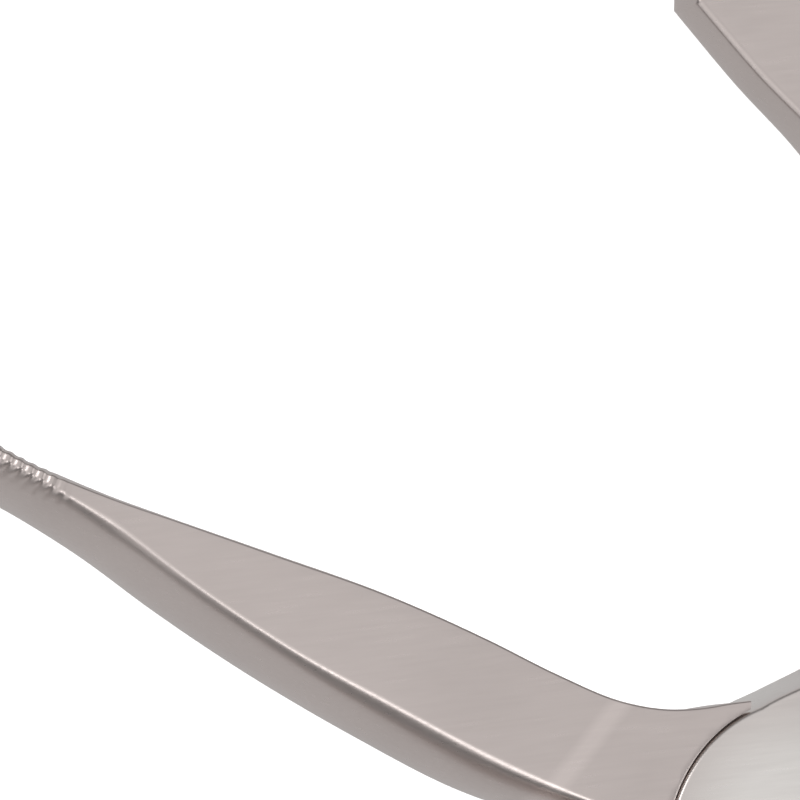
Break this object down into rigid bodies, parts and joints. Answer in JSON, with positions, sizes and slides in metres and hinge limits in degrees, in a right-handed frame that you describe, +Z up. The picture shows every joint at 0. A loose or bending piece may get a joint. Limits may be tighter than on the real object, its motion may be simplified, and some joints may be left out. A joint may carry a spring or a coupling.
{
  "type": "extraction forceps",
  "caption": "Hawk's-bill dental extraction forceps, lying flat and open: crossed forged halves with curved beaks and bowed handles, turning on a slotted joint screw.",
  "frame": {"origin": "on the joint axis, at the flat underside of half B's joint plate, where the forceps rest", "axes": "+Z up along the joint axis, -X midway between the handles at rest, +Y towards the side the beaks bend to"},
  "size_m": [0.1553, 0.1058, 0.0072],
  "materials": {
    "satin_steel_a": "fine satin ground stainless steel",
    "satin_steel_b": "satin ground stainless steel",
    "turned_steel": "turned stainless steel"
  },
  "bodies": {
    "half_b": {"half_b": "satin_steel_b", "joint_screw": "turned_steel"},
    "half_a": {"half_a": "satin_steel_a"}
  },
  "joints": [
    {"name": "lap_joint", "type": "hinge", "parent": "half_b", "child": "half_a", "pos_m": [0, 0, 0.0036], "axis": [0, 0, 1], "range_deg": [-32, 8]}
  ]
}
